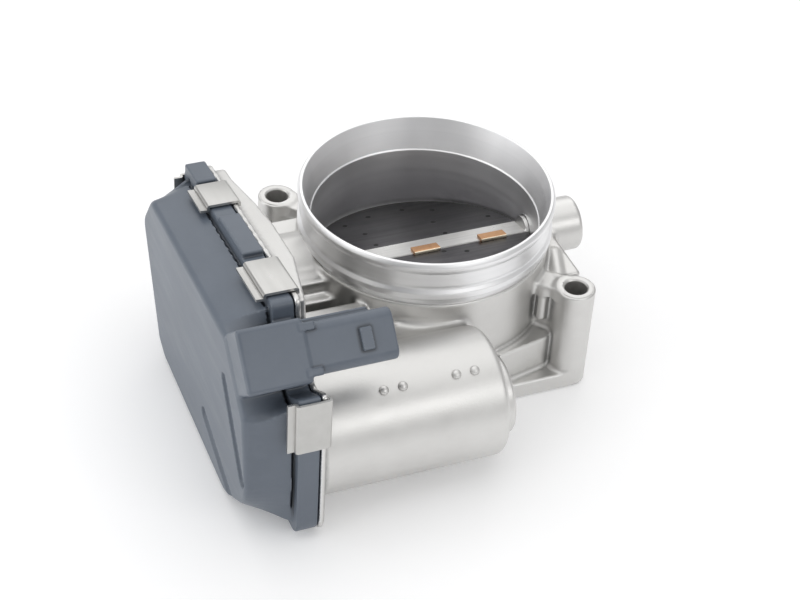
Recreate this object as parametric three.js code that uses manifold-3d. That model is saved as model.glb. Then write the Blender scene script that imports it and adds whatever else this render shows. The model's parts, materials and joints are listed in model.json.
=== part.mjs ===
// Electronic throttle body, bore 82 mm. Millimetres, +Z up along the bore towards the intake,
// +X from the gear cover towards the far end of the throttle shaft, -Y on the motor side.
// Everything is built about the bore axis, base face at z = 0, and centred at the end.
import * as THREE from 'three';
import { mergeVertices } from 'three/addons/utils/BufferGeometryUtils.js';
import Module from 'manifold-3d';

const wasm = await Module();
wasm.setup();

// ---- driving dimensions -------------------------------------------------
const HEIGHT = 65;            // base face to intake rim
const BORE_R = 41;            // throttle bore radius
const RIM_R = 42.8;           // relieved bore at the intake end
const RIM_STEP_Z = 52.3;      // height of the step inside the bore
const NECK_R = 46.1;          // machined intake neck
const BARREL_R = 45.2;        // cast barrel below the neck
const NECK_Z = 49.3;          // bottom of the machined neck
const BOLT_XY = 42;           // half of the square bolt pattern
const BOLT_HOLE_R = 4.05;
const BOLT_BOSS_R = 7.1;
const BOSS_Z = 41;            // top of the bolt bosses
const FLANGE_T = 6.5;         // base flange thickness
const SHAFT = { y: 0, z: 37, r: 5 };
const MOTOR = { y: -65, z: 24, tubeR: 22.8, boreR: 19.9, canR: 19.5 };
const MOTOR_END_X = -1.5;     // end of the motor pocket
const FACE_X = -71.6;         // joint face between casting and cover
const GEAR_FLANGE_T = 1.8;    // clamping edge of the casting's gear flange
const FLANGE_BACK_X = -61.5;  // back of the thicker body behind that edge
const RIM_X = -79.4;          // outer side of the cover's clamping rim
const COVER_X = -95.5;        // outer face of the cover
const BOSS_END_X = 60.8;      // end of the far shaft boss
const WALL = 2.6;             // cover wall
const PLATE_TILT = 13;        // degrees, sprung rest position of the throttle plate
const PLATE_CLOSED = 6;       // degrees, plate angle when shut
const PLATE_T = 1.8;
const MODULE_1 = 1.2;         // motor pinion and large intermediate wheel
const MODULE_2 = 1.35;        // small intermediate pinion and sector
const TEETH = { motor: 10, big: 46, small: 11, sector: 39 };
const CONNECTOR_TILT = 42;    // degrees, connector face turned up towards the intake
const CLIP_T = 0.9;           // spring clip sheet
const SPRING = { radius: 10.8, wire: 0.7, x0: -70.6, x1: -63.6, turns: 4 };

const rad = THREE.MathUtils.degToRad;
const root = new THREE.Group();
root.name = 'throttle_body';

const FINISH = {
  casting: [0xb9bbba, 0.55, 0.85], plastic: [0x3b424b, 0.5, 0.0], steel: [0xc9cacb, 0.3, 1.0],
  spring: [0xd2d0c8, 0.28, 1.0], dark: [0x2a2b2e, 0.35, 0.9], brass: [0xb08a4a, 0.35, 1.0],
  nylon: [0xd9d4c4, 0.55, 0.0], rubber: [0x151515, 0.8, 0.0], copper: [0xb87346, 0.35, 1.0],
  board: [0x27503a, 0.5, 0.0], magnet: [0x4a4a4e, 0.4, 0.8], zinc: [0xa8acb0, 0.35, 1.0],
};

// ---- small helpers ------------------------------------------------------
function solid(geometry) {
  const g = geometry.clone();
  for (const name of Object.keys(g.attributes)) if (name !== 'position') g.deleteAttribute(name);
  const m = mergeVertices(g.index ? g.toNonIndexed() : g, 1e-4);
  return new wasm.Manifold(new wasm.Mesh({
    numProp: 3,
    vertProperties: new Float32Array(m.attributes.position.array),
    triVerts: new Uint32Array(m.index.array),
  }));
}

function toGeometry(body) {
  const mesh = body.getMesh();
  const g = new THREE.BufferGeometry();
  g.setAttribute('position', new THREE.BufferAttribute(new Float32Array(mesh.vertProperties), 3));
  g.setIndex(new THREE.BufferAttribute(new Uint32Array(mesh.triVerts), 1));
  return g;
}

function add(name, shape, finish) {
  const geometry = shape.isBufferGeometry ? shape : toGeometry(shape);
  geometry.computeVertexNormals();
  const [color, roughness, metalness] = FINISH[finish];
  const mesh = new THREE.Mesh(geometry, new THREE.MeshStandardMaterial({ color, roughness, metalness }));
  mesh.name = name;
  root.add(mesh);
}

// cylinder with its axis along X, from x0 to x1, about (y, z)
function rodX(radius, x0, x1, y, z, sides = 32) {
  const g = new THREE.CylinderGeometry(radius, radius, x1 - x0, sides);
  g.rotateZ(-Math.PI / 2);
  g.translate((x0 + x1) / 2, y, z);
  return solid(g);
}

function rodZ(radius, z0, z1, x, y, sides = 32) {
  const g = new THREE.CylinderGeometry(radius, radius, z1 - z0, sides);
  g.rotateX(Math.PI / 2);
  g.translate(x, y, (z0 + z1) / 2);
  return solid(g);
}

function box(x0, x1, y0, y1, z0, z1) {
  const g = new THREE.BoxGeometry(x1 - x0, y1 - y0, z1 - z0);
  g.translate((x0 + x1) / 2, (y0 + y1) / 2, (z0 + z1) / 2);
  return solid(g);
}

// ring about an X axis, closed profile
function ringX(inner, outer, x0, x1, y, z, sides = 32) {
  const profile = [[inner, x0], [outer, x0], [outer, x1], [inner, x1], [inner, x0]];
  const g = new THREE.LatheGeometry(profile.map(([r, h]) => new THREE.Vector2(r, h)), sides);
  g.rotateZ(-Math.PI / 2);
  g.translate(0, y, z);
  return solid(g);
}

function turned(profile, sides = 64) {
  const g = new THREE.LatheGeometry(profile.map(([r, z]) => new THREE.Vector2(r, z)), sides);
  g.rotateX(Math.PI / 2);
  return solid(g);
}

// corner list [y, z, radius] -> rounded outline, the same count of points for every list of the
// same length so two outlines can be lofted
function rounded(corners, steps = 4) {
  const out = [];
  const n = corners.length;
  for (let i = 0; i < n; i += 1) {
    const p = new THREE.Vector2(corners[i][0], corners[i][1]);
    const a = new THREE.Vector2(...corners[(i + n - 1) % n].slice(0, 2)).sub(p);
    const b = new THREE.Vector2(...corners[(i + 1) % n].slice(0, 2)).sub(p);
    const half = Math.acos(a.clone().normalize().dot(b.clone().normalize())) / 2;
    const reach = Math.min(corners[i][2] / Math.tan(half), a.length() * 0.45, b.length() * 0.45);
    const from = p.clone().add(a.normalize().multiplyScalar(reach));
    const to = p.clone().add(b.normalize().multiplyScalar(reach));
    for (let k = 0; k <= steps; k += 1) {
      const t = k / steps;
      const s = 1 - t;
      out.push([
        s * s * from.x + 2 * s * t * p.x + t * t * to.x,
        s * s * from.y + 2 * s * t * p.y + t * t * to.y,
      ]);
    }
  }
  return out;
}

// the corners moved inwards by d (counter-clockwise lists), then rounded
function outline(corners, d = 0) {
  const n = corners.length;
  const moved = corners.map((p, i) => {
    const a = corners[(i + n - 1) % n];
    const b = corners[(i + 1) % n];
    const u = new THREE.Vector2(p[0] - a[0], p[1] - a[1]).normalize();
    const v = new THREE.Vector2(b[0] - p[0], b[1] - p[1]).normalize();
    const across = 1 + u.dot(v);
    const turn = u.cross(v);
    return [
      p[0] - ((u.y + v.y) * d) / across,
      p[1] + ((u.x + v.x) * d) / across,
      Math.max(p[2] - Math.sign(turn) * d, 0.4),
    ];
  });
  return rounded(moved);
}

// skin through YZ outlines at rising x stations, closed by flat ends
function loft(sections) {
  const clockwise = THREE.ShapeUtils.isClockWise(sections[0][1].map(([y, z]) => new THREE.Vector2(y, z)));
  const rings = sections.map(([x, points]) => [x, clockwise ? [...points].reverse() : points]);
  const n = rings[0][1].length;
  const position = [];
  for (const [x, points] of rings) for (const [y, z] of points) position.push(x, y, z);
  const index = [];
  for (let s = 0; s + 1 < rings.length; s += 1) {
    for (let i = 0; i < n; i += 1) {
      const a = s * n + i;
      const b = s * n + ((i + 1) % n);
      index.push(a, b, a + n, b, b + n, a + n);
    }
  }
  for (const [s, flip] of [[0, true], [rings.length - 1, false]]) {
    const ring = rings[s][1].map(([y, z]) => new THREE.Vector2(y, z));
    for (const [a, b, c] of THREE.ShapeUtils.triangulateShape(ring, [])) {
      if (flip) index.push(s * n + a, s * n + c, s * n + b);
      else index.push(s * n + a, s * n + b, s * n + c);
    }
  }
  const g = new THREE.BufferGeometry();
  g.setAttribute('position', new THREE.Float32BufferAttribute(position, 3));
  g.setIndex(index);
  return solid(g);
}

const prismX = (points, x0, x1) => loft([[x0, points], [x1, points]]);

// ---- gear wheels --------------------------------------------------------
// involute outline about the origin in the YZ plane, tooth 0 pointing along `phase`
function gearOutline(module, teeth, phase, firstTooth = 0, toothCount = teeth) {
  const pitch = module * teeth / 2;
  const base = pitch * Math.cos(rad(20));
  const tip = pitch + 0.75 * module;
  const root_ = pitch - 1.05 * module;
  const inv = (r) => {
    if (r <= base) return 0;
    const t = Math.sqrt((r / base) ** 2 - 1);
    return t - Math.atan(t);
  };
  const halfTooth = Math.PI / (2 * teeth) - 0.12 / pitch / 2;
  const points = [];
  for (let k = firstTooth; k < firstTooth + toothCount; k += 1) {
    const centre = phase + (k * 2 * Math.PI) / teeth;
    const radii = [root_, Math.max(base, root_ + 0.1), pitch, tip];
    const flank = radii.map((r) => [r, halfTooth + inv(pitch) - inv(r)]);
    for (const [r, a] of flank) points.push([r, centre - a]);
    for (const [r, a] of flank.reverse()) points.push([r, centre + a]);
  }
  return points.map(([r, a]) => [r * Math.cos(a), r * Math.sin(a)]);
}

const shift = (points, y, z) => points.map((p) => [p[0] + y, p[1] + z]);

// intermediate gear axis from the two centre distances
const REACH_1 = MODULE_1 * (TEETH.motor + TEETH.big) / 2;
const REACH_2 = MODULE_2 * (TEETH.small + TEETH.sector) / 2;
const toMotor = new THREE.Vector2(MOTOR.y - SHAFT.y, MOTOR.z - SHAFT.z);
const SPAN = toMotor.length();
const ALONG = (REACH_2 ** 2 - REACH_1 ** 2 + SPAN ** 2) / (2 * SPAN);
const OFFSET = Math.sqrt(REACH_2 ** 2 - ALONG ** 2);
toMotor.normalize();
const IDLER = {
  y: SHAFT.y + toMotor.x * ALONG + toMotor.y * OFFSET,
  z: SHAFT.z + toMotor.y * ALONG - toMotor.x * OFFSET,
};
const motorToIdler = Math.atan2(IDLER.z - MOTOR.z, IDLER.y - MOTOR.y);
const shaftToIdler = Math.atan2(IDLER.z - SHAFT.z, IDLER.y - SHAFT.y);

// ---- outlines shared by the casting and the cover (y, z, corner radius) --
const JOINT = [
  [36, 66.2, 6], [-64, 80.3, 3], [-65.4, 72.3, 3], [-80.4, 56.2, 3], [-92.2, 63.8, 2.5],
  [-92.2, 1.4, 7], [-50, 1.4, 8], [24, 1.4, 8], [33, 8, 10], [36, 44, 10],
];
const OUTER = [
  [23, 63.5, 6], [-56, 71, 4], [-65.5, 71.6, 3], [-79, 57, 3], [-84, 52, 4],
  [-88, 17, 16], [-64, 1, 16], [10, 1, 6], [17.5, 5, 6], [34, 48.5, 8],
];

// ---- housing casting ----------------------------------------------------
function flangeOutline(half, corner) {
  const s = new THREE.Shape();
  s.moveTo(-half + corner, -half);
  s.lineTo(half - corner, -half);
  s.absarc(half - corner, -half + corner, corner, -Math.PI / 2, 0, false);
  s.lineTo(half, half - corner);
  s.absarc(half - corner, half - corner, corner, 0, Math.PI / 2, false);
  s.lineTo(-half + corner, half);
  s.absarc(-half + corner, half - corner, corner, Math.PI / 2, Math.PI, false);
  s.lineTo(-half, -half + corner);
  s.absarc(-half + corner, -half + corner, corner, Math.PI, 1.5 * Math.PI, false);
  return s;
}

function housing() {
  let body = turned([
    [0, 0], [BARREL_R, 0], [BARREL_R, NECK_Z - 3], [44.4, NECK_Z - 2], [44.4, NECK_Z],
    [NECK_R, NECK_Z], [NECK_R, 53.2], [44.9, 53.6], [44.9, 54.6], [45.4, 55], [45.4, 61.2],
    [46.3, 62.2], [46.3, 64.2], [45.5, HEIGHT], [0, HEIGHT],
  ]);
  const flange = new THREE.ExtrudeGeometry(flangeOutline(BOLT_XY + BOLT_BOSS_R, BOLT_BOSS_R), {
    depth: FLANGE_T, bevelEnabled: false, curveSegments: 8,
  });
  body = body.add(solid(flange));
  for (const sx of [-1, 1]) {
    for (const sy of [-1, 1]) {
      body = body.add(rodZ(BOLT_BOSS_R, 0, BOSS_Z, sx * BOLT_XY, sy * BOLT_XY));
      const web = new THREE.BoxGeometry(18, 8, BOSS_Z - 4);
      web.translate(-7, 0, (BOSS_Z - 4) / 2);
      web.rotateZ(Math.atan2(sy, sx));
      web.translate(sx * (BOLT_XY - 2), sy * (BOLT_XY - 2), 0);
      body = body.add(solid(web));
    }
  }
  // throttle shaft bosses
  body = body.add(rodX(10.2, 38, BOSS_END_X, SHAFT.y, SHAFT.z - 1.2));
  body = body.add(rodX(14.6, FACE_X + 0.6, -40, SHAFT.y, SHAFT.z));
  body = body.add(box(38, 49, -38, -2, 14, 39));
  // motor pocket
  body = body.add(rodX(MOTOR.tubeR, FACE_X + 2, MOTOR_END_X, MOTOR.y, MOTOR.z, 48));
  body = body.add(rodX(18.8, MOTOR_END_X - 1, 3.2, MOTOR.y, MOTOR.z, 40));
  body = body.add(box(-56, -4, -62, -38, 5, 38));
  // gear flange and the struts between it and the barrel
  body = body.add(prismX(outline(JOINT), FACE_X, FACE_X + GEAR_FLANGE_T));
  body = body.add(prismX(outline(JOINT, 2.2), FACE_X + 0.5, FLANGE_BACK_X));
  body = body.add(box(FLANGE_BACK_X - 1, -36, -16, 22, 9, 45));
  body = body.add(box(FLANGE_BACK_X - 1, -37, -19.5, -15, 9, 39));
  body = body.add(box(FLANGE_BACK_X - 1, -34, -33, -28, 9, 43));
  for (const x of [-44.5, -38, -18.2, -11.4]) {
    const out = new THREE.Vector3(0, -Math.sin(rad(28)), Math.cos(rad(28)));
    const seat = new THREE.CylinderGeometry(1.7, 1.7, 3.4, 12);
    seat.applyQuaternion(new THREE.Quaternion().setFromUnitVectors(new THREE.Vector3(0, 1, 0), out));
    seat.translate(x, MOTOR.y + out.y * MOTOR.tubeR, MOTOR.z + out.z * MOTOR.tubeR);
    body = body.add(solid(seat));
  }
  // bore and passages
  body = body.subtract(turned([
    [0, -1], [BORE_R, -1], [BORE_R, RIM_STEP_Z], [RIM_R, RIM_STEP_Z], [RIM_R, HEIGHT + 1], [0, HEIGHT + 1],
  ]));
  for (const sx of [-1, 1]) {
    for (const sy of [-1, 1]) {
      body = body.subtract(rodZ(BOLT_HOLE_R, -1, BOSS_Z + 1, sx * BOLT_XY, sy * BOLT_XY, 24));
    }
  }
  body = body.subtract(rodX(5.35, FACE_X - 1, 53, SHAFT.y, SHAFT.z, 24));
  body = body.subtract(rodX(8.3, FACE_X - 1, -56, SHAFT.y, SHAFT.z));
  const springRoom = SPRING.wire + 0.6;
  body = body.subtract(ringX(
    SPRING.radius - springRoom, SPRING.radius + springRoom, FACE_X - 1, SPRING.x1 + 1.4, SHAFT.y, SHAFT.z, 40,
  ));
  body = body.subtract(rodX(7.3, 44, BOSS_END_X + 1, SHAFT.y, SHAFT.z));
  body = body.subtract(rodX(MOTOR.boreR, FACE_X - 1, -4, MOTOR.y, MOTOR.z, 48));
  body = body.subtract(rodX(2.3, FACE_X - 1, -64.5, IDLER.y, IDLER.z, 16));
  body = body.subtract(ringZ(42.6, 47.4, -1, 2.4));
  body = body.subtract(rodX(1.9, FACE_X - 1, -64.5, 25, 17, 12));
  for (const angle of [45, 135]) {
    const [y, z] = screwSeat(angle);
    body = body.subtract(rodX(1.3, FACE_X - 1, -64.5, y, z, 12));
  }
  return body;
}

function ringZ(inner, outer, z0, z1) {
  return turned([[inner, z0], [outer, z0], [outer, z1], [inner, z1], [inner, z0]]);
}

function screwSeat(angle) {
  return [MOTOR.y + 22.3 * Math.cos(rad(angle)), MOTOR.z + 22.3 * Math.sin(rad(angle))];
}

add('housing', housing(), 'casting');

// ---- gear cover with its connector --------------------------------------
// the connector frame: u runs down the sloping face, v goes into the part
const TILT = rad(CONNECTOR_TILT);
const FACE_TOP = [-74.5, 81.8];
const slopeAt = (down, inwards) => [
  FACE_TOP[0] - Math.sin(TILT) * down + Math.cos(TILT) * inwards,
  FACE_TOP[1] - Math.cos(TILT) * down - Math.sin(TILT) * inwards,
];
const slopeBox = (x0, x1, d0, d1, v0, v1) => prismX(
  [slopeAt(d0, v0), slopeAt(d1, v0), slopeAt(d1, v1), slopeAt(d0, v1)], x0, x1,
);

function cover() {
  let body = loft([[COVER_X + 1.2, outline(OUTER)], [RIM_X + 2, outline(JOINT, 2.5)]]);
  body = body.add(loft([[COVER_X, outline(OUTER, 1.2)], [COVER_X + 1.3, outline(OUTER, 0.02)]]));
  body = body.add(prismX(outline(JOINT, 0.4), RIM_X, FACE_X - 0.3));
  // raised pads between the clips
  for (const [y0, y1] of [[19.9, 34.5], [-33, -6]]) {
    const z = (y) => 71.2 - 0.141 * y;
    body = body.add(prismX([
      [y0, z(y0) - 5], [y1, z(y1) - 5], [y1, z(y1) + 1.6], [y0, z(y0) + 1.6],
    ], RIM_X, FACE_X - 0.3));
  }
  // connector block and shroud
  body = body.add(slopeBox(COVER_X + 0.6, -73, 0, 21, 0, 14.8));
  body = body.add(slopeBox(-74, -43.5, 2, 19, 0.8, 11.5));
  // hollow for the gears, then the connector mouth and the slots for its blades
  body = body.subtract(loft([
    [COVER_X + WALL, outline(OUTER, WALL + 0.8)],
    [RIM_X, outline(JOINT, WALL + 2.3)],
    [FACE_X + 1, outline(JOINT, WALL + 2.3)],
  ]));
  body = body.subtract(slopeBox(-62, -42, 3.7, 17.3, 2.3, 10));
  for (const [down, inwards] of blades()) {
    body = body.subtract(slopeBox(-77.6, -61, down - 0.75, down + 0.75, inwards - 0.7, inwards + 0.7));
  }
  return body;
}

function blades() {
  return [6, 10.5, 15].flatMap((down) => [[down, 4.6], [down, 7.7]]);
}

add('gear_cover', cover(), 'plastic');
blades().forEach(([down, inwards], i) => {
  add(`terminal_${i + 1}`, slopeBox(-77, -49, down - 0.4, down + 0.4, inwards - 0.35, inwards + 0.35), 'brass');
});

// ---- spring clips -------------------------------------------------------
// profile across the joint: hook behind the flange, top, hook in front of the rim, thumb lip
function clip(width) {
  const t = CLIP_T;
  const x0 = RIM_X - 0.5;
  const x1 = FACE_X + GEAR_FLANGE_T + 0.35;
  const points = [
    [x1, -1.5], [x1 + t, -1.5], [x1 + t, t], [x0 - t, t], [x0 - t, -0.8], [x0 - t - 2.4, -0.6],
    [x0 - t - 2.4, -0.6 - t], [x0, -0.8 - t], [x0, 0], [x1, 0],
  ];
  const shape = new THREE.Shape(points.map(([x, z]) => new THREE.Vector2(x, z)));
  const g = new THREE.ExtrudeGeometry(shape, { depth: width, bevelEnabled: false });
  g.translate(0, 0, -width / 2);
  g.rotateX(Math.PI / 2);
  return g;
}

// [y, z of the clip middle on the joint outline, outward direction in degrees from +Y, width]
const CLIPS = [
  [10.2, 69.84, 82, 16], [-48.7, 78.14, 82, 21.5], [-92.2, 51.6, 180, 20],
  [36, 54, 0, 16], [8, 1.4, 270, 18], [-27, 1.4, 270, 18],
];
CLIPS.forEach(([y, z, angle, width], i) => {
  const g = clip(width);
  g.translate(0, 0, 0.3);
  g.rotateX(rad(angle - 90));
  g.translate(0, y, z);
  add(`cover_clip_${i + 1}`, g, 'spring');
});

// ---- throttle shaft, plate and what turns with them ---------------------
// the slot for the plate leaves two cheeks, joined by the round ends outside the bore
function shaftBody() {
  let body = rodX(SHAFT.r, -82.4, 53.6, SHAFT.y, SHAFT.z, 32);
  body = body.subtract(plateBlank(BORE_R + 1.5, PLATE_T / 2 + 0.15));
  return body;
}

function plateBlank(radius, halfThickness) {
  const g = new THREE.CylinderGeometry(radius, radius, 2 * halfThickness, 72);
  g.rotateX(Math.PI / 2);
  g.scale(0.994, 1 / Math.cos(rad(PLATE_CLOSED)), 1);
  g.rotateX(-rad(PLATE_TILT));
  g.translate(0, SHAFT.y, SHAFT.z);
  return solid(g);
}

function throttlePlate() {
  return plateBlank(BORE_R - 0.3, PLATE_T / 2);
}

add('throttle_shaft', shaftBody(), 'steel');
add('throttle_plate', throttlePlate(), 'dark');
for (const [i, x] of [[1, 0], [2, 26]]) {
  const tab = new THREE.BoxGeometry(11, 1.6, 3.6);
  tab.translate(x, -5.9, 0.9 + 1.8 + 0.35);
  tab.rotateX(-rad(PLATE_TILT));
  tab.translate(0, SHAFT.y, SHAFT.z);
  add(`plate_tab_${i}`, solid(tab), 'copper');
}

const sectorPhase = shaftToIdler + Math.PI / TEETH.sector;
function sectorGear() {
  const first = -18;
  const count = 23;
  const outline = gearOutline(MODULE_2, TEETH.sector, sectorPhase, first, count);
  const start = sectorPhase + (first * 2 * Math.PI) / TEETH.sector;
  const end = sectorPhase + ((first + count - 1) * 2 * Math.PI) / TEETH.sector;
  const hub = [];
  for (let i = 1; i < 12; i += 1) {
    const a = end + ((2 * Math.PI - (end - start)) * i) / 12;
    hub.push([9 * Math.cos(a), 9 * Math.sin(a)]);
  }
  let body = prismX(shift([...outline, ...hub], SHAFT.y, SHAFT.z), -79, -73);
  body = body.subtract(rodX(SHAFT.r + 0.15, -80, -72, SHAFT.y, SHAFT.z, 24));
  return body;
}
add('sector_gear', sectorGear(), 'nylon');
add('sensor_magnet', rodX(4.2, -85, -82.6, SHAFT.y, SHAFT.z, 24), 'magnet');
const sensorBoard = box(-92.6, -91.4, -15, 15, 24, 52).add(box(-91.5, -89.6, -4, 4, 33, 41));
add('sensor_board', sensorBoard, 'board');

// ---- intermediate gear and its pin --------------------------------------
function idlerGear() {
  const big = gearOutline(MODULE_1, TEETH.big, motorToIdler + Math.PI + Math.PI / TEETH.big);
  const small = gearOutline(MODULE_2, TEETH.small, shaftToIdler + Math.PI);
  let body = prismX(shift(big, IDLER.y, IDLER.z), -87, -82);
  body = body.add(prismX(shift(small, IDLER.y, IDLER.z), -82.5, -72.6));
  body = body.subtract(rodX(2.25, -90, -70, IDLER.y, IDLER.z, 20));
  return body;
}
add('intermediate_gear', idlerGear(), 'nylon');
add('gear_pin', rodX(2, -89.5, -65, IDLER.y, IDLER.z, 20), 'steel');

// ---- motor --------------------------------------------------------------
function motorCan() {
  let body = rodX(MOTOR.canR, -66.5, -5, MOTOR.y, MOTOR.z, 48);
  body = body.subtract(rodX(16.8, -64.8, -6.5, MOTOR.y, MOTOR.z, 40));
  return body.subtract(rodX(4.6, -68, -60, MOTOR.y, MOTOR.z, 24));
}
add('motor_can', motorCan(), 'zinc');
function rotor() {
  const body = rodX(15.8, -58, -14, MOTOR.y, MOTOR.z, 32);
  return body.add(rodX(2, -88.5, -7.5, MOTOR.y, MOTOR.z, 20));
}
add('motor_rotor', rotor(), 'steel');
function pinion() {
  const outline = gearOutline(MODULE_1, TEETH.motor, motorToIdler);
  const body = prismX(shift(outline, MOTOR.y, MOTOR.z), -88, -81);
  return body.subtract(rodX(2.15, -89, -80, MOTOR.y, MOTOR.z, 20));
}
add('motor_pinion', pinion(), 'brass');
function motorPlate() {
  let body = rodX(17.5, FACE_X - 1.8, FACE_X - 0.3, MOTOR.y, MOTOR.z, 48);
  const [earY, earZ] = screwSeat(45);
  const reach = earY - MOTOR.y + 3;
  body = body.add(box(FACE_X - 1.8, FACE_X - 0.3, MOTOR.y - reach, MOTOR.y + reach, earZ - 3, earZ + 3));
  body = body.subtract(rodX(5.5, -75, -70, MOTOR.y, MOTOR.z, 24));
  for (const angle of [45, 135]) {
    const [y, z] = screwSeat(angle);
    body = body.subtract(rodX(1.4, -75, -70, y, z, 16));
  }
  return body;
}
add('motor_plate', motorPlate(), 'zinc');
[45, 135].forEach((angle, i) => {
  const [y, z] = screwSeat(angle);
  const body = rodX(1.1, FACE_X - 3, -65, y, z, 16).add(rodX(2.3, FACE_X - 3.9, FACE_X - 2.1, y, z, 16));
  add(`motor_screw_${i + 1}`, body, 'steel');
});

// ---- bearings, seals, spring, small parts -------------------------------
// round-wire coil about the shaft axis, closed at both ends
function coil({ radius, wire, x0, x1, turns }) {
  const steps = turns * 24;
  const sides = 8;
  const position = [];
  for (let s = 0; s <= steps; s += 1) {
    const turn = (2 * Math.PI * turns * s) / steps;
    for (let k = 0; k < sides; k += 1) {
      const around = (2 * Math.PI * k) / sides;
      const r = radius + wire * Math.cos(around);
      const x = x0 + ((x1 - x0) * s) / steps + wire * Math.sin(around);
      position.push(x, SHAFT.y + r * Math.cos(turn), SHAFT.z + r * Math.sin(turn));
    }
  }
  const index = [];
  for (let s = 0; s < steps; s += 1) {
    for (let k = 0; k < sides; k += 1) {
      const a = s * sides + k;
      const b = s * sides + ((k + 1) % sides);
      index.push(a, a + sides, b + sides, a, b + sides, b);
    }
  }
  const last = steps * sides;
  for (let k = 1; k + 1 < sides; k += 1) {
    index.push(0, k, k + 1, last, last + k + 1, last + k);
  }
  const g = new THREE.BufferGeometry();
  g.setAttribute('position', new THREE.Float32BufferAttribute(position, 3));
  g.setIndex(index);
  return solid(g);
}
add('return_spring', coil(SPRING), 'spring');
add('bearing_gear_side', ringX(5.2, 8, -64.5, -56.4, SHAFT.y, SHAFT.z, 32), 'steel');
add('bearing_far_side', ringX(5.2, 7, 44.4, 52.8, SHAFT.y, SHAFT.z, 32), 'steel');
add('shaft_seal', ringX(5.2, 8, -68.2, -64.9, SHAFT.y, SHAFT.z, 32), 'rubber');
add('end_plug', rodX(7, BOSS_END_X - 3.6, BOSS_END_X - 0.4, SHAFT.y, SHAFT.z, 32), 'zinc');
add('base_seal', ringZ(43.1, 46.8, 0.2, 2.1), 'rubber');
add('stop_screw', rodX(1.6, -74, -65, 25, 17, 16).add(rodX(2.6, -75.5, -73.8, 25, 17, 6)), 'steel');

root.updateMatrixWorld(true);
const size = new THREE.Box3().setFromObject(root);
const centre = size.getCenter(new THREE.Vector3());
for (const mesh of root.children) mesh.geometry.translate(-centre.x, -centre.y, -size.min.z);

export default root;
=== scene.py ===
"""Looks of an electronic throttle body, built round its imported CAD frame.

The casting and the gear cover are skins of distance functions, so every fillet is a real one.
Turned, bent and fitted pieces are made in mesh code, and whatever repeats is set out by Geometry Nodes.
Lengths are millimetres about the bore axis, base face at z = 0, until a mesh is stored in metres.
"""
import json
import math

import bmesh
import bpy
import numpy as np
from mathutils import Matrix, Vector


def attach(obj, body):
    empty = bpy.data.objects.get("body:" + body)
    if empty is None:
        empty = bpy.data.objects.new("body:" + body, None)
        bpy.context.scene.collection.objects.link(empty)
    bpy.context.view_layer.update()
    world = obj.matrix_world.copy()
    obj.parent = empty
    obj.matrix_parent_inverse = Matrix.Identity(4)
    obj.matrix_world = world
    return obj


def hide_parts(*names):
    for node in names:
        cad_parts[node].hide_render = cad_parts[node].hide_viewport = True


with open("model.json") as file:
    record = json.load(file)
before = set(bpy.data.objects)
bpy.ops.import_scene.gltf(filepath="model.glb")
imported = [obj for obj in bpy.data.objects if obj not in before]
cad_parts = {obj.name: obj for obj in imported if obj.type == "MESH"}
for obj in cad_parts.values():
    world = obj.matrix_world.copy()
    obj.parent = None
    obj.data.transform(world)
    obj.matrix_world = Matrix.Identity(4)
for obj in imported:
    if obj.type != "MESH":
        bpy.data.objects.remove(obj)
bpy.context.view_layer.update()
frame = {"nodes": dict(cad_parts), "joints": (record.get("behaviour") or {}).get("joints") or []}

# ---- driving dimensions, mm ---------------------------------------------
MM = 0.001
HEIGHT = 65.0                 # base face to intake rim
BORE_R = 41.0
RIM_R = 44.4                  # flared mouth of the bore at the intake rim
RIM_STEP_Z = 52.3
BARREL_R = 45.2
NECK_R = 46.1
NECK_Z = 49.3
BOLT_XY = 42.0
BOLT_HOLE_R = 4.05
BOLT_BOSS_R = 7.1
BOSS_Z = 41.0
FLANGE_T = 6.5
SHAFT_R = 5.0
SHAFT_Z = 37.0
MOTOR_Y = -65.0
MOTOR_Z = 24.0
TUBE_R = 22.8
TUBE_END_X = -1.5
BOSS_END_X = 60.8
FACE_X = -71.6                # joint face between casting and cover
EDGE_T = 1.8                  # clamping edge of the gear flange
BACK_X = -61.5                # back of the thicker body behind that edge
RIM_X = -79.4                 # outer side of the cover's rim
COVER_X = -95.5               # outer face of the cover
WALL = 2.6
PLATE_TILT = math.radians(13)
PLATE_T = 1.8
CONNECTOR_TILT = math.radians(42)

HINGE = next(j for j in frame["joints"] if j["name"] == "throttle_hinge")
ORIGIN = np.array(HINGE["pos_m"]) - np.array([0, 0, SHAFT_Z * MM])

# joint outline shared by casting and cover, and the cover's outer outline: (y, z, corner radius)
JOINT = [
    (36, 66.2, 6), (-64, 80.3, 3), (-65.4, 72.3, 3), (-80.4, 56.2, 3), (-92.2, 63.8, 2.5),
    (-92.2, 1.4, 7), (-50, 1.4, 8), (24, 1.4, 8), (33, 8, 10), (36, 44, 10),
]
OUTER = [
    (23, 63.5, 6), (-56, 71, 4), (-65.5, 71.6, 3), (-79, 57, 3), (-84, 52, 4),
    (-88, 17, 16), (-64, 1, 16), (10, 1, 6), (17.5, 5, 6), (34, 48.5, 8),
]
# cover clips: (y, z on the joint outline, outward direction in degrees from +y, width)
CLIPS = [
    (10.2, 69.84, 82, 16), (-48.7, 78.14, 82, 21.5), (-92.2, 51.6, 180, 20),
    (36, 54, 0, 16), (8, 1.4, 270, 18), (-27, 1.4, 270, 18),
]


# ---- distance functions -------------------------------------------------
def meet(a, b, edge=0.0):
    """Overlap of two shapes, with the edge between them rounded to radius edge."""
    return np.minimum(-edge, np.maximum(a, b)) + np.hypot(np.maximum(a + edge, 0), np.maximum(b + edge, 0))


def join(a, b, fillet=0.0):
    """Union of two shapes, with a fillet in the corner between them."""
    return (np.maximum(fillet, np.minimum(a, b))
            - np.hypot(np.maximum(fillet - a, 0), np.maximum(fillet - b, 0)))


def cut(a, b, edge=0.0):
    return meet(a, -b, edge)


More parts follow.
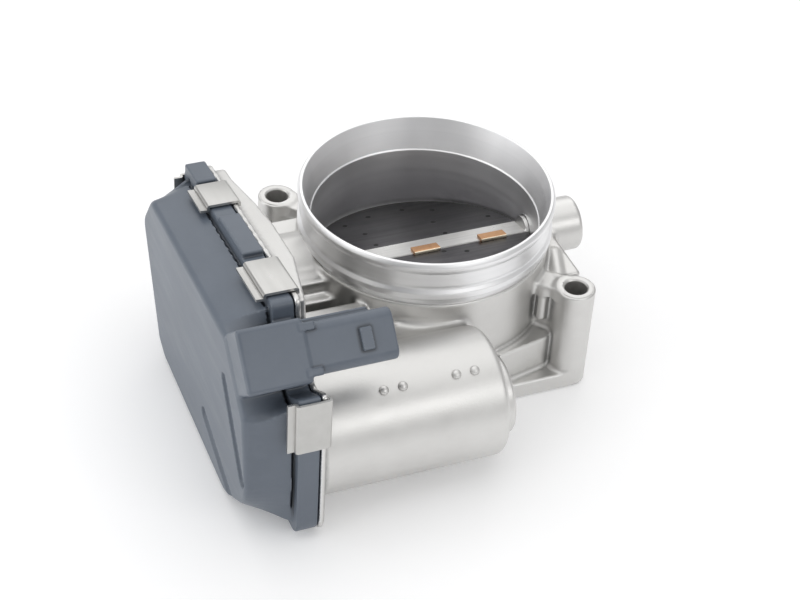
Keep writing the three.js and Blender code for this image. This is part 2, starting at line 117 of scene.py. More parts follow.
def slab(u, low, high):
    return np.maximum(low - u, u - high)


def rod(u, v, along, radius, low, high, edge=0.6):
    return meet(np.hypot(u, v) - radius, slab(along, low, high), edge)


def block(x, y, z, x_range, y_range, z_range, edge=0.8):
    """Box with all its edges rounded."""
    reach = []
    for u, (low, high) in zip((x, y, z), (x_range, y_range, z_range)):
        reach.append(np.abs(u - (low + high) / 2) - (high - low) / 2 + edge)
    outside = np.sqrt(sum(np.maximum(q, 0) ** 2 for q in reach))
    return outside + np.minimum(np.maximum.reduce(reach), 0) - edge


def capsule(points, start, end, radius):
    """Distance to a round-ended bar between two points."""
    start, end = np.array(start, float), np.array(end, float)
    along = end - start
    offset = [p - s for p, s in zip(points, start)]
    share = np.clip(sum(o * a for o, a in zip(offset, along)) / (along @ along), 0, 1)
    return np.sqrt(sum((o - share * a) ** 2 for o, a in zip(offset, along))) - radius


class Outline:
    """Distance to a closed outline with rounded corners in the yz plane, looked up in a fine table."""

    STEP = 0.5
    LOW = np.array([-104.0, -14.0])
    HIGH = np.array([52.0, 96.0])

    def __init__(self, corners):
        loop = np.array(self.rounded(corners))
        count = ((self.HIGH - self.LOW) / self.STEP).astype(int) + 1
        y, z = np.meshgrid(*[self.LOW[i] + self.STEP * np.arange(count[i]) for i in range(2)], indexing="ij")
        nearest = np.full(y.shape, 1e9)
        inside = np.zeros(y.shape, bool)
        for a, b in zip(loop, np.roll(loop, -1, axis=0)):
            d = b - a
            share = np.clip(((y - a[0]) * d[0] + (z - a[1]) * d[1]) / max(d @ d, 1e-12), 0, 1)
            nearest = np.minimum(nearest, np.hypot(y - a[0] - share * d[0], z - a[1] - share * d[1]))
            crosses = (a[1] > z) != (b[1] > z)
            with np.errstate(divide="ignore", invalid="ignore"):
                inside ^= crosses & (y < a[0] + (z - a[1]) * d[0] / d[1])
        self.table = np.where(inside, -nearest, nearest)

    @staticmethod
    def rounded(corners, steps=8):
        points = []
        for i, (y, z, radius) in enumerate(corners):
            here = np.array([y, z], float)
            arms = [np.array(corners[i - 1][:2]) - here, np.array(corners[(i + 1) % len(corners)][:2]) - here]
            lengths = [np.linalg.norm(a) for a in arms]
            units = [a / n for a, n in zip(arms, lengths)]
            half = math.acos(units[0] @ units[1]) / 2
            reach = min(radius / math.tan(half), 0.45 * lengths[0], 0.45 * lengths[1])
            start, end = here + units[0] * reach, here + units[1] * reach
            for t in np.linspace(0, 1, steps + 1):
                points.append((1 - t) ** 2 * start + 2 * t * (1 - t) * here + t * t * end)
        return points

    def __call__(self, y, z):
        top = np.array(self.table.shape) - 1.001
        u = np.clip((y - self.LOW[0]) / self.STEP, 0, top[0])
        v = np.clip((z - self.LOW[1]) / self.STEP, 0, top[1])
        i, j = u.astype(int), v.astype(int)
        u, v, t = u - i, v - j, self.table
        return ((t[i, j] * (1 - u) + t[i + 1, j] * u) * (1 - v)
                + (t[i, j + 1] * (1 - u) + t[i + 1, j + 1] * u) * v)


joint_outline = Outline(JOINT)
outer_outline = Outline(OUTER)


def rounded_square(x, y, half, corner):
    u, v = np.abs(x) - half + corner, np.abs(y) - half + corner
    return np.hypot(np.maximum(u, 0), np.maximum(v, 0)) + np.minimum(np.maximum(u, v), 0) - corner


def casting(x, y, z):
    """The aluminium housing: barrel, base flange, bolt columns, shaft bosses, motor tube, gear flange."""
    r = np.hypot(x, y)
    d = rod(x, y, z, BARREL_R, -6, NECK_Z - 2.4, 0.8)
    front = np.maximum(y + 14, -6 - x)
    for radius, top in ((46.5, 20.0), (47.8, 13.5)):
        d = join(d, meet(meet(r - radius, z - top, 0.7), front, 0.8), 0.8)
    flange = meet(rounded_square(x, y, BOLT_XY + BOLT_BOSS_R, BOLT_BOSS_R), z - FLANGE_T, 0.7)
    d = join(d, flange, 1.2)
    for sx in (-1, 1):
        for sy in (-1, 1):
            column = rod(x - sx * BOLT_XY, y - sy * BOLT_XY, z, BOLT_BOSS_R, -6, BOSS_Z - 0.25, 0.5)
            out = (x * sx + y * sy) / math.sqrt(2)
            side = (x * sy - y * sx) / math.sqrt(2)
            web = block(out, side, z, (38, 57), (-4.0, 1.6 if sx > sy else 4.0), (-6, BOSS_Z - 3), 0.9)
            lid = block(out, side, z, (40, 57), (-4.4, 4.4), (BOSS_Z - 5, BOSS_Z - 0.5), 0.8)
            d = join(d, join(column, join(web, lid, 1.5), 2.2), 2.0)
    # stiffening rib and its ledge beside the front right column
    d = join(d, capsule((x, y, z), (32.4, -36.0, 26), (32.4, -36.0, 37.5), 2.0), 1.6)
    ledge = np.maximum(np.maximum(0.218 * (x - 14) - 0.976 * (y + 46.4), y + 20), slab(x, 12, 38))
    d = join(d, meet(meet(ledge, r - 53.6, 1.0), z - 20, 0.9), 1.4)
    d = np.maximum(d, rounded_square(x, y, BOLT_XY + BOLT_BOSS_R, BOLT_BOSS_R))
    d = join(d, rod(y, z - SHAFT_Z + 1.2, x, 10.2, 38, BOSS_END_X, 1.4), 1.8)
    d = join(d, block(x, y, z, (32, 48.4), (-33, -2), (-2, 39.4), 1.2), 1.8)
    d = join(d, capsule((x, y, z), (44.2, -19, 38.1), (39.4, -33, 38.1), 1.7), 2.2)
    d = join(d, rod(y, z - SHAFT_Z, x, 14.6, FACE_X + 0.6, -40, 1.0), 2.0)
    tube = rod(y - MOTOR_Y, z - MOTOR_Z, x, TUBE_R, FACE_X + 2, TUBE_END_X, 2.4)
    tube = join(tube, rod(y - MOTOR_Y, z - MOTOR_Z + 3, x, 14.6, TUBE_END_X - 3, 4.4, 1.6), 1.2)
    tube = join(tube, block(x, y, z, (-56, -4), (-62, -38), (5, 38), 2.0), 3.0)
    d = join(d, tube, 3.5)
    joint = joint_outline(y, z)
    edge = meet(joint, slab(x, FACE_X, FACE_X + EDGE_T), 0.45)
    back = np.interp(y, (-74, -60, -35, -12, 4, 24),
                     (FACE_X + 2.4, -67, BACK_X - 0.5, BACK_X, BACK_X - 1, -65))
    backing = meet(joint + 2.2, np.maximum(FACE_X + 0.5 - x, x - back), 1.0)
    d = join(d, join(edge, backing, 0.5), 1.2)
    for x_end, y_range, top in ((-36, (-16, 22), 45), (-37, (-19.5, -15), 39), (-34, (-33, -28), 43)):
        d = join(d, block(x, y, z, (BACK_X - 2, x_end), y_range, (9, top), 1.2), 2.0)
    # bore, bolt holes, shaft passage, spring room, motor pocket, seal groove
    d = cut(d, r - 42.5, 0.1)
    for sx in (-1, 1):
        for sy in (-1, 1):
            d = cut(d, np.hypot(x - sx * BOLT_XY, y - sy * BOLT_XY) - BOLT_HOLE_R - 0.7, 0.1)
    shaft = np.hypot(y, z - SHAFT_Z)
    d = cut(d, np.maximum(shaft - 5.35, x - 53), 0.1)
    d = cut(d, np.maximum(shaft - 8.3, x + 56), 0.3)
    d = cut(d, np.maximum(slab(shaft, 9.5, 12.1), x + 62.2), 0.3)
    d = cut(d, np.maximum(shaft - 7.3, 44 - x), 0.3)
    d = cut(d, np.maximum(np.hypot(y - MOTOR_Y, z - MOTOR_Z) - 19.9, x + 4), 0.3)
    d = cut(d, np.maximum(slab(r, 42.5, 47.4), z - 2.4), 0.2)
    return meet(d, -z, 0.3)


def connector_frame(y, z):
    """Distances down the sloping connector face and into the part, from the face's top edge."""
    dy, dz = y + 74.5, z - 81.8
    sin, cos = math.sin(CONNECTOR_TILT), math.cos(CONNECTOR_TILT)
    return -dy * sin - dz * cos, dy * cos - dz * sin


def cover(x, y, z):
    """The moulded gear cover: lofted shell, clamping rim, pads, connector and hollow inside."""
    share = np.clip((x - COVER_X - 1.2) / (RIM_X + 2 - COVER_X - 1.2), 0, 1)
    wall = (1 - share) * outer_outline(y, z) + share * (joint_outline(y, z) + 2.5)
    d = meet(wall, slab(x, COVER_X, FACE_X - 3), 2.0)
    joint = joint_outline(y, z)
    rim = meet(joint + 0.4, slab(x, RIM_X, FACE_X - 0.3), 0.6)
    d = join(d, rim, 0.6)
    top = 71.2 - 0.141 * y
    for y_range in ((19.9, 34.5), (-33, -6)):
        pad = meet(slab(y, *y_range), slab(z - top, -5, 1.6), 0.7)
        d = join(d, meet(pad, slab(x, RIM_X, FACE_X - 0.3), 0.6), 0.4)
    d = cut(d, np.maximum(slab(x, RIM_X - 0.9, RIM_X - 0.05), -joint - 3.7), 0.2)
    down, inwards = connector_frame(y, z)
    body = meet(meet(slab(down, 0, 21), slab(inwards, 0, 14.8), 1.6), slab(x, COVER_X + 0.6, -73), 1.4)
    d = join(d, body, 1.2)
    u, v = np.abs(down - 10.5) - 8.5 + 3.4, np.abs(inwards - 6.15) - 5.35 + 3.4
    section = np.hypot(np.maximum(u, 0), np.maximum(v, 0)) + np.minimum(np.maximum(u, v), 0) - 3.4
    shroud = meet(section, slab(x, -80, -43.5), 1.0)
    key = meet(meet(slab(down, 0.6, 3.5), slab(inwards, 5.2, 8.2), 0.7), slab(x, -74, -50), 0.8)
    d = join(join(d, shroud, 1.0), key, 0.6)
    ramp = 0.8 - 1.5 * np.clip((-55.6 - x) / -4.0 + 1, 0, 1)
    latch = meet(meet(slab(down, 7, 14.4), ramp - inwards, 0.3), slab(x, -55.6, -51.6), 0.25)
    d = np.minimum(d, np.maximum(latch, inwards - 3))
    for middle in (3.2, 17.8):
        lug = meet(meet(slab(down, middle - 1.3, middle + 1.3), slab(inwards, -0.2, 4), 0.5),
                   slab(x, -75, -69.5), 0.5)
        d = join(d, lug, 0.5)
    d = cut(d, capsule((x, y, z), (-84, 28.5, 63.7), (-77.6, 28.5, 63.7), 1.6), 0.3)
    for start, end in (((-64.6, 52.9), (-82.5, 25.2)), ((-40.8, 17.7), (-70.4, 5.9))):
        d = cut(d,
                capsule((COVER_X + (x - COVER_X) * 1.5, y, z), (COVER_X, *start), (COVER_X, *end), 2.6), 0.4)
    # hollow for the gears
    inner = (1 - share) * outer_outline(y, z) + share * (joint_outline(y, z) + 2.3)
    hollow = meet(inner + WALL + 0.4, COVER_X + WALL - x, 1.5)
    d = cut(d, hollow, 0.4)
    # connector mouth
    u, v = np.abs(down - 10.5) - 6.8 + 2.2, np.abs(inwards - 6.15) - 3.85 + 2.2
    mouth = np.hypot(np.maximum(u, 0), np.maximum(v, 0)) + np.minimum(np.maximum(u, v), 0) - 2.2
    return cut(d, np.maximum(mouth, -62 - x), 0.35)


# ---- skins --------------------------------------------------------------
def in_chunks(distance, points, size=400000):
    parts = [distance(*points[i:i + size].T) for i in range(0, len(points), size)]
    return np.concatenate(parts) if parts else np.zeros(0)


def gradient(distance, points, reach=0.04):
    columns = []
    for axis in range(3):
        offset = np.zeros(3)
        offset[axis] = reach
        columns.append(in_chunks(distance, points + offset) - in_chunks(distance, points - offset))
    return np.stack(columns, 1) / (2 * reach)


def sampled(distance, low, count, step, coarse=4):
    """The distance on a grid, worked out only in the coarse cells that may hold the surface."""
    blocks = [n // coarse for n in count]
    centres = np.stack(np.meshgrid(*[low[i] + step * coarse * (np.arange(blocks[i]) + 0.5) for i in range(3)],
                                   indexing="ij"), -1).reshape(-1, 3)
    middle = in_chunks(distance, centres).reshape(blocks)
    near = np.abs(middle) < step * coarse * 1.5
    grid = np.where(middle < 0, -9.0, 9.0)
    mask = near
    for axis in range(3):
        grid = np.repeat(grid, coarse, axis)
        mask = np.repeat(mask, coarse, axis)
    grid = np.pad(grid, ((0, 1),) * 3, mode="edge")
    mask = np.pad(mask, ((0, 1),) * 3, mode="edge")
    for axis in range(3):
        lead = [slice(None)] * 3
        back = [slice(None)] * 3
        lead[axis] = slice(coarse, None, coarse)
        back[axis] = slice(coarse - 1, -1, coarse)
        mask[tuple(lead)] |= mask[tuple(back)]
    where = np.argwhere(mask)
    grid[mask] = in_chunks(distance, low + step * where)
    return grid


def skin(distance, low, high, step):
    """Closed quads on the zero level of a distance function, outward, with corners settled onto it."""
    coarse = 4
    low = np.array(low, float)
    count = [int(math.ceil((h - l) / (step * coarse))) * coarse for l, h in zip(low, high)]
    field = sampled(distance, low, count, step, coarse)
    solid = field < 0
    corners = [(i, j, k) for i in (0, 1) for j in (0, 1) for k in (0, 1)]
    held = sum(solid[i:i + count[0], j:j + count[1], k:k + count[2]].astype(np.int8) for i, j, k in corners)
    active = (held > 0) & (held < 8)
    number = np.full(active.shape, -1, np.int64)
    number[active] = np.arange(active.sum())
    cell = np.argwhere(active)
    total, hits = np.zeros((len(cell), 3)), np.zeros(len(cell))
    for a in corners:
        for axis in range(3):
            if a[axis]:
                continue
            b = tuple(v + (n == axis) for n, v in enumerate(a))
            da, db = field[tuple((cell + a).T)], field[tuple((cell + b).T)]
            crossed = (da < 0) != (db < 0)
            share = da[crossed] / (da[crossed] - db[crossed])
            total[crossed] += np.array(a) + share[:, None] * (np.array(b) - np.array(a))
            hits[crossed] += 1
    points = low + step * (cell + total / hits[:, None])
    faces = []
    for axis in range(3):
        u, v = (axis + 1) % 3, (axis + 2) % 3
        first = [slice(0, n) for n in count]
        ahead = list(first)
        ahead[axis] = slice(1, count[axis] + 1)
        a, b = solid[tuple(first)], solid[tuple(ahead)]
        edge = np.argwhere(a != b)
        edge = edge[(edge[:, u] > 0) & (edge[:, v] > 0)]
        outward = a[tuple(edge.T)]
        ring = []
        for du, dv in ((-1, -1), (0, -1), (0, 0), (-1, 0)):
            at = edge.copy()
            at[:, u] += du
            at[:, v] += dv
            ring.append(number[tuple(at.T)])
        quad = np.stack(ring, 1)
        quad[~outward] = quad[~outward][:, ::-1]
        faces.append(quad)
    for _ in range(3):
        slope = gradient(distance, points)
        size = np.maximum((slope ** 2).sum(1), 0.2)
        pull = -in_chunks(distance, points)[:, None] * slope / size[:, None]
        points += np.clip(pull, -0.6 * step, 0.6 * step)
    return points, np.concatenate(faces)


# ---- meshes -------------------------------------------------------------
def to_mesh(name, points, faces):
    """Mesh from millimetre points about the bore axis and a list or array of faces."""
    mesh = bpy.data.meshes.new(name)
    placed = np.asarray(points, float) * MM + ORIGIN
    mesh.from_pydata(placed.tolist(), [], [list(map(int, f)) for f in faces])
    mesh.validate()
    mesh.shade_smooth()
    return mesh


def piece(name, mesh, body, material, nodes):
    """A finished piece that rides on a body, stands for CAD nodes and takes the given finish."""
    mesh.name = name
    mesh.materials.clear()
    mesh.materials.append(material)
    made = bpy.data.objects.new(name, mesh)
    bpy.context.scene.collection.objects.link(made)
    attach(made, body)
    if nodes:
        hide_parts(*nodes)
    return made


def finished(host):
    """The host object's evaluated mesh as a plain one; the host is removed."""
    bpy.context.view_layer.update()
    graph = bpy.context.evaluated_depsgraph_get()
    mesh = bpy.data.meshes.new_from_object(host.evaluated_get(graph), depsgraph=graph)
    bpy.data.objects.remove(host)
    return mesh


def host_of(mesh):
    made = bpy.data.objects.new("host", mesh)
    bpy.context.scene.collection.objects.link(made)
    return made


def thinned(mesh, limit):
    """At most limit triangles."""
    mesh.calc_loop_triangles()
    count = len(mesh.loop_triangles)
    if count <= limit:
        return mesh
    host = host_of(mesh)
    modifier = host.modifiers.new("thin", "DECIMATE")
    modifier.ratio = limit / count
    return finished(host)


def cast_mesh(name, distance, low, high, step, limit, machined=None, depth=1.1):
    """Skin of a distance function with its true normals and masks of convex edges, corners and cut faces; the
    edge and corner masks carry painted highlights and painted shade.
    """
    mesh = thinned(to_mesh(name, *skin(distance, low, high, step)), limit)
    points = np.zeros(len(mesh.vertices) * 3)
    mesh.vertices.foreach_get("co", points)
    points = (points.reshape(-1, 3) - ORIGIN) / MM
    slope = gradient(distance, points)
    normal = slope / np.maximum(np.linalg.norm(slope, axis=1), 1e-6)[:, None]
    mesh.shade_smooth()
    mesh.normals_split_custom_set_from_vertices(normal.tolist())
    height = 2 * depth
    # edge grows where the surface is convex and corner where other surface stands close above a point; the
    # finishes paint highlights on edges and shade in corners from them
    edge = (in_chunks(distance, points - normal * depth) + depth) / depth
    corner = (height - in_chunks(distance, points + normal * height)) / height
    store(mesh, "edge", np.clip(edge * 1.6, 0, 1))
    store(mesh, "corner", np.clip(corner * 1.5, 0, 1))
    store(mesh, "machined", np.zeros(len(points)) if machined is None else machined(points, normal))
    return mesh


def store(mesh, name, values):
    layer = mesh.attributes.new(name, "FLOAT", "POINT")
    layer.data.foreach_set("value", np.asarray(values, np.float32))


def turned(profile, sides=192):
    """Points and faces of a closed ring turned about z from (radius, height) corners."""
    profile = np.array(profile, float)
    n = len(profile)
    angle = np.linspace(0, 2 * math.pi, sides, endpoint=False)
    points = np.stack([
        np.outer(np.cos(angle), profile[:, 0]),
        np.outer(np.sin(angle), profile[:, 0]),
        np.tile(profile[:, 1], (sides, 1)),
    ], -1).reshape(-1, 3)
    faces = []
    for s in range(sides):
        t = (s + 1) % sides
        for i in range(n):
            j = (i + 1) % n
            faces.append((s * n + i, t * n + i, t * n + j, s * n + j))
    return points, faces


def softened(corners, radius=0.25, steps=3):
    """Closed profile with each corner broken by a small round."""
    points = []
    corners = [np.array(c, float) for c in corners]
    for i, here in enumerate(corners):
        arms = [corners[i - 1] - here, corners[(i + 1) % len(corners)] - here]
        lengths = [np.linalg.norm(a) for a in arms]
        reach = min(radius, 0.4 * lengths[0], 0.4 * lengths[1])
        start, end = (here + a / n * reach for a, n in zip(arms, lengths))
        for t in np.linspace(0, 1, steps):
            points.append((1 - t) ** 2 * start + 2 * t * (1 - t) * here + t * t * end)
    return points


def lofted(sections):
    """Points and faces of a closed skin through rings of equal length, capped at both ends."""
    n = len(sections[0])
    points = np.concatenate([np.asarray(s, float) for s in sections])
    faces = []
    for s in range(len(sections) - 1):
        for i in range(n):
            j = (i + 1) % n
            faces.append((s * n + i, s * n + j, (s + 1) * n + j, (s + 1) * n + i))
    faces.append(tuple(range(n - 1, -1, -1)))
    last = (len(sections) - 1) * n
    faces.append(tuple(range(last, last + n)))
    return points, faces


def sharpened(mesh, angle=math.radians(34)):
    """Creased shading where faces meet at more than the angle."""
    mesh.set_sharp_from_angle(angle=angle)
    return mesh


# ---- materials ----------------------------------------------------------
def value_group(name, inputs, outputs):
    """Empty node group with named float or vector sockets, and its two end nodes."""
    group = bpy.data.node_groups.new(name, "ShaderNodeTree")
    for label, kind, value in inputs:
        socket = group.interface.new_socket(label, in_out="INPUT", socket_type=kind)
        if value is not None:
            socket.default_value = value
    for label in outputs:
        group.interface.new_socket(label, in_out="OUTPUT", socket_type="NodeSocketFloat")
    return group, group.nodes.new("NodeGroupInput"), group.nodes.new("NodeGroupOutput")


def noise(tree, vector, scale, detail=4.0, rough=0.55):
    """Noise value; scale may be a number or a socket."""
    node = tree.nodes.new("ShaderNodeTexNoise")
    node.inputs["Detail"].default_value = detail
    node.inputs["Roughness"].default_value = rough
    tree.links.new(vector, node.inputs["Vector"])
    feed(tree, node.inputs["Scale"], scale)
    return node.outputs["Fac"]


def feed(tree, socket, value):
    if isinstance(value, bpy.types.NodeSocket):
        tree.links.new(value, socket)
    else:
        socket.default_value = value


def math_node(tree, operation, *values, clamp=False):
    node = tree.nodes.new("ShaderNodeMath")
    node.operation = operation
    node.use_clamp = clamp
    for socket, value in zip(node.inputs, values):
        feed(tree, socket, value)
    return node.outputs[0]


def remap(tree, value, low, high, to_low, to_high):
    node = tree.nodes.new("ShaderNodeMapRange")
    for socket, setting in zip(node.inputs, (value, low, high, to_low, to_high)):
        feed(tree, socket, setting)
    return node.outputs["Result"]


def grain_group():
    """Fine grain and broad blotches of a cast or moulded skin."""
    vector, number = "NodeSocketVector", "NodeSocketFloat"
    group, given, made = value_group(
        "skin_grain",
        [("Vector", vector, None), ("Grain Scale", number, 2600.0), ("Blotch Scale", number, 45.0)],
        ["Grain", "Blotch"],
    )
    fine = noise(group, given.outputs["Vector"], given.outputs["Grain Scale"], 3.0, 0.6)
    broad = noise(group, given.outputs["Vector"], given.outputs["Blotch Scale"], 5.0, 0.6)
    group.links.new(fine, made.inputs["Grain"])
    group.links.new(broad, made.inputs["Blotch"])
    return group


def tool_group():
    """Turning marks: fine rings that depend only on distance from the axis and height."""
    vector, number = "NodeSocketVector", "NodeSocketFloat"
    group, given, made = value_group(
        "tool_marks",
        [("Vector", vector, None), ("Pitch Scale", number, 5200.0), ("Band Scale", number, 260.0)],
        ["Marks", "Bands"],
    )
    split = group.nodes.new("ShaderNodeSeparateXYZ")
    group.links.new(given.outputs["Vector"], split.inputs[0])
    squares = [math_node(group, "MULTIPLY", split.outputs[i], split.outputs[i]) for i in (0, 1)]
    radius = math_node(group, "SQRT", math_node(group, "ADD", *squares))
    rings = group.nodes.new("ShaderNodeCombineXYZ")
    group.links.new(radius, rings.inputs[0])
    group.links.new(split.outputs[2], rings.inputs[2])
    group.links.new(noise(group, rings.outputs[0], given.outputs["Pitch Scale"], 2.0), made.inputs["Marks"])
    group.links.new(noise(group, rings.outputs[0], given.outputs["Band Scale"], 3.0), made.inputs["Bands"])
    return group


GRAIN = grain_group()
TOOL = tool_group()


class Finish:
    """A material under construction: one Principled shader fed by shared groups."""

    def __init__(self, name, metallic, roughness):
        self.material = bpy.data.materials.new(name)
        self.material.use_nodes = True
        self.tree = self.material.node_tree
        self.tree.nodes.clear()
        self.shader = self.tree.nodes.new("ShaderNodeBsdfPrincipled")
        out = self.tree.nodes.new("ShaderNodeOutputMaterial")
        self.tree.links.new(self.shader.outputs[0], out.inputs["Surface"])
        self.shader.inputs["Metallic"].default_value = metallic
        self.shader.inputs["Roughness"].default_value = roughness
        place = self.tree.nodes.new("ShaderNodeTexCoord")
        self.place = place.outputs["Object"]

    def about(self, point):
        """Object coordinates moved so that point is their origin."""
        node = self.tree.nodes.new("ShaderNodeMapping")
        node.inputs["Location"].default_value = [-c for c in point]
        self.tree.links.new(self.place, node.inputs["Vector"])
        return node.outputs["Vector"]

    def group(self, shared, vector=None, **sizes):
        node = self.tree.nodes.new("ShaderNodeGroup")
        node.node_tree = shared
        self.tree.links.new(vector or self.place, node.inputs["Vector"])
        for label, value in sizes.items():
            node.inputs[label.replace("_", " ").title()].default_value = value
        return node.outputs

    def attribute(self, name):
        node = self.tree.nodes.new("ShaderNodeAttribute")
        node.attribute_name = name
        return node.outputs["Fac"]

    def colours(self, value, stops):
        """Colour from a value by a ramp of (position, rgb) stops."""
        ramp = self.tree.nodes.new("ShaderNodeValToRGB")
        elements = ramp.color_ramp.elements
        while len(elements) < len(stops):
            elements.new(0.5)
        for element, (position, rgb) in zip(elements, stops):
            element.position = position
            element.color = (*rgb, 1)
        self.tree.links.new(value, ramp.inputs["Fac"])
        return ramp.outputs["Color"]

    def mixed(self, share, a, b):
        node = self.tree.nodes.new("ShaderNodeMix")
        node.data_type = "RGBA"
        for socket, value in ((node.inputs[0], share), (node.inputs[6], a), (node.inputs[7], b)):
            feed(self.tree, socket, value)
        return node.outputs[2]

    def base(self, colour):
        self.tree.links.new(colour, self.shader.inputs["Base Color"])
        return self

    def rough(self, value):
        self.tree.links.new(value, self.shader.inputs["Roughness"])
        return self

    def bump(self, height, strength, distance):
        node = self.tree.nodes.new("ShaderNodeBump")
        node.inputs["Strength"].default_value = strength
        node.inputs["Distance"].default_value = distance
        self.tree.links.new(height, node.inputs["Height"])
        self.tree.links.new(node.outputs[0], self.shader.inputs["Normal"])
        return self


def cast_aluminium():
    """Sand-fine die casting: satin grey, with painted highlights on convex edges and painted shade in
    corners, bright where cut.
    """
    f = Finish("cast_aluminium", 1.0, 0.45)
    grain = f.group(GRAIN, grain_scale=1500.0, blotch_scale=38.0)
    colour = f.colours(grain["Blotch"], [(0.3, (0.63, 0.622, 0.608)), (0.7, (0.72, 0.715, 0.70))])
    # painted shade: corners darkened towards dark grey
    colour = f.mixed(math_node(f.tree, "MULTIPLY", f.attribute("corner"), 0.6), colour, (0.24, 0.24, 0.24, 1))
    # painted highlight: convex edges lightened
    colour = f.mixed(math_node(f.tree, "MULTIPLY", f.attribute("edge"), 0.3), colour, (0.80, 0.80, 0.79, 1))
    cut_face = f.attribute("machined")
    colour = f.mixed(cut_face, colour, (0.80, 0.80, 0.80, 1))
    f.base(colour)
    matt = remap(f.tree, grain["Blotch"], 0.3, 0.7, 0.37, 0.49)
    shiny = math_node(f.tree, "MULTIPLY", f.attribute("edge"), 0.06)
    matt = math_node(f.tree, "SUBTRACT", matt, shiny)
    f.rough(math_node(f.tree, "SUBTRACT", matt, math_node(f.tree, "MULTIPLY", cut_face, 0.15)))
    f.bump(grain["Grain"], 0.2, 0.0002)
    return f.material


def machined_aluminium():
    """Turned neck and bore: bright, with fine tool rings, faint bands and broad darker upright streaks that
    are painted reflections.
    """
    f = Finish("machined_aluminium", 1.0, 0.3)
    marks = f.group(TOOL, f.about(ORIGIN), pitch_scale=4200.0, band_scale=330.0)
    streak = noise(f.tree, f.place, 60.0, 3.0)
    # painted reflections: broad upright streaks, stretched along z, that darken the base colour
    upright = f.tree.nodes.new("ShaderNodeMapping")
    upright.inputs["Scale"].default_value = (1.0, 1.0, 0.08)
    f.tree.links.new(f.place, upright.inputs["Vector"])
    cloud = remap(f.tree, noise(f.tree, upright.outputs["Vector"], 38.0, 2.0), 0.38, 0.66, 0.0, 0.25)
    colour = f.colours(marks["Bands"], [(0.3, (0.87, 0.87, 0.875)), (0.7, (0.93, 0.93, 0.935))])
    f.base(f.mixed(cloud, colour, (0.50, 0.50, 0.515, 1)))
    sheen = remap(f.tree, marks["Bands"], 0.3, 0.7, 0.34, 0.42)
    f.rough(math_node(f.tree, "ADD", sheen, remap(f.tree, streak, 0.35, 0.7, 0.0, 0.06)))
    f.bump(marks["Marks"], 0.1, 0.0001)
    return f.material


def cover_plastic():
    """Glass-filled nylon, slate blue-grey, satin, with faint flow streaks, painted highlights on convex edges
    and painted shade in corners.
    """
    f = Finish("cover_plastic", 0.0, 0.45)
    grain = f.group(GRAIN, grain_scale=2300.0, blotch_scale=26.0)
    stretch = f.tree.nodes.new("ShaderNodeMapping")
    stretch.inputs["Scale"].default_value = (1.0, 0.22, 1.6)
    f.tree.links.new(f.place, stretch.inputs["Vector"])
    streaks = noise(f.tree, stretch.outputs["Vector"], 110.0, 4.0, 0.6)
    colour = f.colours(grain["Blotch"], [(0.3, (0.096, 0.116, 0.146)), (0.7, (0.116, 0.138, 0.172))])
    colour = f.mixed(remap(f.tree, streaks, 0.5, 0.75, 0.0, 0.25), colour, (0.165, 0.188, 0.22, 1))
    # painted highlight: convex edges lightened
    colour = f.mixed(math_node(f.tree, "MULTIPLY", f.attribute("edge"), 0.4), colour, (0.22, 0.245, 0.28, 1))
    # painted shade: corners darkened nearly to black
    colour = f.mixed(math_node(f.tree, "MULTIPLY", f.attribute("corner"), 0.7),
                     colour, (0.016, 0.018, 0.022, 1))
    f.base(colour)
    f.rough(remap(f.tree, streaks, 0.3, 0.75, 0.36, 0.46))
    f.bump(grain["Grain"], 0.12, 0.00012)
    f.shader.inputs["Specular IOR Level"].default_value = 0.6
    return f.material


def brushed(name, light, dark, roughness, scale=(1.0, 1.0, 0.03), marks=900.0, bump=0.1):
    """Metal with a rolling or grinding direction, streaks along the short axis of scale."""
    f = Finish(name, 1.0, roughness)
    stretch = f.tree.nodes.new("ShaderNodeMapping")
    stretch.inputs["Scale"].default_value = scale
    f.tree.links.new(f.place, stretch.inputs["Vector"])
    streaks = noise(f.tree, stretch.outputs["Vector"], marks, 3.0)
    cloud = noise(f.tree, f.place, 70.0, 4.0)
    halves = [math_node(f.tree, "MULTIPLY", value, 0.5) for value in (streaks, cloud)]
    mixed = math_node(f.tree, "ADD", *halves)
    f.base(f.colours(mixed, [(0.35, dark), (0.65, light)]))
    f.rough(remap(f.tree, mixed, 0.35, 0.65, roughness + 0.06, roughness - 0.04))
    f.bump(streaks, bump, 0.00005)
    return f.material


def tab_copper():
    """Rolled copper, browner on top, with the bent front face painted pale cream as a painted reflection of
    the bright surroundings.
    """
    f = Finish("copper_tab", 1.0, 0.34)
    grain = f.group(GRAIN, grain_scale=1800.0, blotch_scale=260.0)
    top = f.colours(grain["Blotch"], [(0.3, (0.46, 0.24, 0.12)), (0.7, (0.62, 0.36, 0.19))])
    front = f.colours(grain["Blotch"], [(0.3, (0.88, 0.78, 0.60)), (0.7, (0.95, 0.87, 0.70))])
    # painted reflection: faces marked front get a pale cream colour instead of copper
    f.base(f.mixed(f.attribute("front"), top, front))
    f.rough(remap(f.tree, grain["Blotch"], 0.3, 0.7, 0.30, 0.42))
    f.bump(grain["Grain"], 0.1, 0.00005)
    return f.material


def moulded(name, dark, light, roughness, grain_scale=2500.0):
    """Plain moulded plastic or rubber with grain and slight colour drift."""
    f = Finish(name, 0.0, roughness)
    grain = f.group(GRAIN, grain_scale=grain_scale, blotch_scale=60.0)
    f.base(f.colours(grain["Blotch"], [(0.3, dark), (0.7, light)]))
    f.rough(remap(f.tree, grain["Blotch"], 0.3, 0.7, roughness - 0.06, roughness + 0.06))
    f.bump(grain["Grain"], 0.15, 0.0001)
    return f.material


